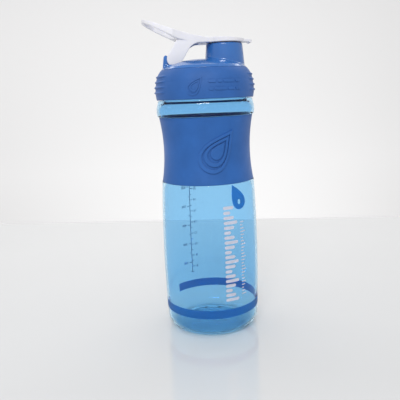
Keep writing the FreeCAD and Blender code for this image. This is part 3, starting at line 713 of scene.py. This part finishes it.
def make_lid_band():
    """The soft band round the lid, with grip ridges on its left and its right."""
    outer = band_outside(0)
    inner = band_outside(BAND_THICKNESS)
    outline = [
        *reversed(inner),
        (42.2 - BAND_THICKNESS, LID_BOTTOM),
        (41.7, LID_BOTTOM),
        (42.05, LID_BOTTOM + 0.25),
        *outer,
    ]

    def ridged(radius, height, angle):
        if radius > lid_radius(height) - 0.05 and height > LID_BOTTOM + 0.6:
            radius += ridge_height(height, angle)
        return radius, height

    mesh = turn_outline("lid_band_skin", outline, LID_SEGMENTS, shift=ridged)
    band = make_object("lid_band_skin", mesh, "lid_rubber", "lid", crease=60)
    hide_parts("lid_grip_band")


LOW_RELIEF = {"sunk": 0.25, "proud": 0.6, "edge": 0.2}
LID_MARK_SIZES = (17.0, 14.6, 10.6, 8.4)
LID_MARK_HEIGHT = 217.0
LID_DROP_DIRECTION, LID_BARS_DIRECTION = -106.0, -73.0
LID_BAR_ROWS = {3.0: (6.0, 3.6, 9.6, 3.6), -3.0: (3.6, 9.6, 6.0, 3.6)}  # the bars' widths by row
LID_BARS_LEFT, LID_BAR_THICKNESS, LID_BAR_GAP = -13.6, 2.0, 1.4


def add_lid_mark():
    """Two small nested drops and two rows of bars, raised on the front of the lid."""
    drop = flat_curve("lid_mark", [drop_shape(size, MARK_TILT) for size in LID_MARK_SIZES])
    wrap_on("lid_mark", drop, "lid_rubber", "lid", lid_radius, LID_DROP_DIRECTION, LID_MARK_HEIGHT,
            **LOW_RELIEF)
    shapes = []
    for row, widths in LID_BAR_ROWS.items():
        x = LID_BARS_LEFT
        for width in widths:
            shapes.append(shifted(pill_shape(width, LID_BAR_THICKNESS), x + width / 2, row))
            x += width + LID_BAR_GAP
    bars = flat_curve("lid_mark_bars", shapes)
    wrap_on("lid_mark_bars", bars, "lid_rubber", "lid", lid_radius, LID_BARS_DIRECTION, LID_MARK_HEIGHT,
            **LOW_RELIEF)


def soft_moulding(name, nodes, slot, body, voxel, passes):
    """One piece in place of CAD nodes, joined, with the rounded edges of a real moulding."""
    shape = bmesh.new()
    for node in nodes:
        shape.from_mesh(frame["nodes"][node].data)
    bmesh.ops.remove_doubles(shape, verts=shape.verts, dist=1e-6)
    source = bpy.data.meshes.new(name + "_source")
    shape.to_mesh(source)
    shape.free()
    obj = bpy.data.objects.new(name + "_source", source)
    bpy.context.scene.collection.objects.link(obj)
    voxels = obj.modifiers.new("voxels", "REMESH")
    voxels.mode = "VOXEL"
    voxels.voxel_size = voxel * MM
    edges = obj.modifiers.new("edges", "SMOOTH")
    edges.factor = 0.5
    edges.iterations = passes
    mesh = evaluated_mesh(obj)
    bpy.data.objects.remove(obj)
    piece = make_object(name, mesh, slot, body, crease=180)
    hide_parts(*nodes)


# ---- floor, light and camera ------------------------------------------------------------

EYE = Vector((-0.048, -0.4575, 0.2075))
AIM_LEFT_OF_AXIS = math.radians(1.0)
PITCH_DOWN = math.radians(11.25)
ROLL = math.radians(2.4)
LENS = 46.35
TABLE_DEPTH = 0.406
TABLE_SKEW = 0.19  # how much nearer the table's back edge is for each metre to the right
TABLE_FRONT = -1.2
# painted shade: depth of the grey strip laid along the table's back edge as a dark line
SHADE_LINE_DEPTH = 0.006
STAGE_HALF_WIDTH = 2.5
BACKDROP_DEPTH, BACKDROP_BOTTOM, BACKDROP_TOP = 1.1, -1, 2.2
WORLD_STRENGTH = 0.66
LIGHTS = {  # where each light is, what it points at, its width and length, and its watts
    "window_front": ((-0.22, -1.1, 1.0), (0, 0, 0.15), (0.62, 0.14), 9),
    "backdrop_wash": ((0.16, 0.6, -0.35), (0.14, 1.1, 0.05), (0.9, 0.3), 1.3),
    "table_fill": ((0.0, 0.45, 0.75), (0.0, 0.4, 0), (1.6, 0.2), 3.0),
}


def add_camera():
    toward = Vector((-EYE.x, -EYE.y, 0)).normalized()
    toward.rotate(Matrix.Rotation(AIM_LEFT_OF_AXIS, 3, "Z"))
    forward = toward * math.cos(PITCH_DOWN) - Vector((0, 0, 1)) * math.sin(PITCH_DOWN)
    right = forward.cross(Vector((0, 0, 1))).normalized()
    up = right.cross(forward)
    tilted_up = up * math.cos(ROLL) + right * math.sin(ROLL)
    tilted_right = forward.cross(tilted_up)
    turn = Matrix((tilted_right, tilted_up, -forward)).transposed()
    data = bpy.data.cameras.new("camera")
    data.lens = LENS
    data.sensor_width = 36.0
    data.clip_start = 0.01
    camera = bpy.data.objects.new("camera", data)
    bpy.context.scene.collection.objects.link(camera)
    camera.matrix_world = Matrix.Translation(EYE) @ turn.to_4x4()
    bpy.context.scene.camera = camera


def quad(name, corners, material):
    mesh = bpy.data.meshes.new(name)
    mesh.from_pydata(corners, [], [(0, 1, 2, 3)])
    mesh.materials.append(material)
    obj = bpy.data.objects.new(name, mesh)
    bpy.context.scene.collection.objects.link(obj)


def add_stage():
    """A glossy pale table with a grey strip along its back edge as a painted shade line, and a plain wall
    behind it.
    """
    g = Graph("table_gloss_white")
    rough = g.remap(g.noise(60, detail=3), 0.3, 0.7, 0.09, 0.13)
    table = g.surface((0.71, 0.715, 0.72), rough, Specular_IOR_Level=0.6, Coat_Weight=0.5,
                      Coat_Roughness=0.06)
    wall = Graph("backdrop_white").surface((0.88, 0.875, 0.875), 0.9)
    # painted shade: grey material for the dark line along the table's back edge
    edge = Graph("painted_shade_line_grey").surface((0.72, 0.72, 0.72), 0.6)
    x = STAGE_HALF_WIDTH
    left, right = TABLE_DEPTH + TABLE_SKEW * x, TABLE_DEPTH - TABLE_SKEW * x
    back = [(x, right, 0), (-x, left, 0)]
    # painted shade: the grey strip's far side, a little behind the table's back edge
    shade_line_far = [(px, y + SHADE_LINE_DEPTH, z) for px, y, z in back]
    quad("table", [(-x, TABLE_FRONT, 0), (x, TABLE_FRONT, 0), *back], table)
    quad("painted_shade_line", [*reversed(back), *shade_line_far], edge)
    bottom = [(side, BACKDROP_DEPTH, BACKDROP_BOTTOM) for side in (-x, x)]
    top = [(side, BACKDROP_DEPTH, BACKDROP_TOP) for side in (x, -x)]
    quad("backdrop", [*bottom, *top], wall)


def add_area_light(name, place, aim, size, power):
    data = bpy.data.lights.new(name, "AREA")
    data.shape = "RECTANGLE"
    data.size, data.size_y = size
    data.energy = power
    obj = bpy.data.objects.new(name, data)
    bpy.context.scene.collection.objects.link(obj)
    obj.location = place
    obj.rotation_euler = (Vector(aim) - Vector(place)).to_track_quat("-Z", "Y").to_euler()


def add_light():
    scene = bpy.context.scene
    world = bpy.data.worlds.new("studio")
    world.use_nodes = True
    background = world.node_tree.nodes["Background"]
    background.inputs["Color"].default_value = (1, 1, 1, 1)
    background.inputs["Strength"].default_value = WORLD_STRENGTH
    scene.world = world
    scene.view_settings.view_transform = "Standard"
    for name, settings in LIGHTS.items():
        add_area_light(name, *settings)


# ---- build ------------------------------------------------------------------------------

paint_cad_nodes()
make_bottle()
make_sleeve()
add_sleeve_mark()
add_badge()
add_volume_scale()
add_print_column("front_print", width=12.8, thickness=2.7, pitch=4.26, direction=-71.4)
add_print_column("side_print", width=5.2, thickness=0.9, pitch=2.8, direction=-55.3)
make_lid_band()
add_lid_mark()
soft_moulding("lid_crown", ["lid_dome", "spout"], "lid_plastic", "lid", voxel=0.42, passes=4)
soft_moulding("flip_cap_moulding", ["flip_cap"], "cap_plastic", "cap", voxel=0.3, passes=5)
add_stage()
add_light()
add_camera()
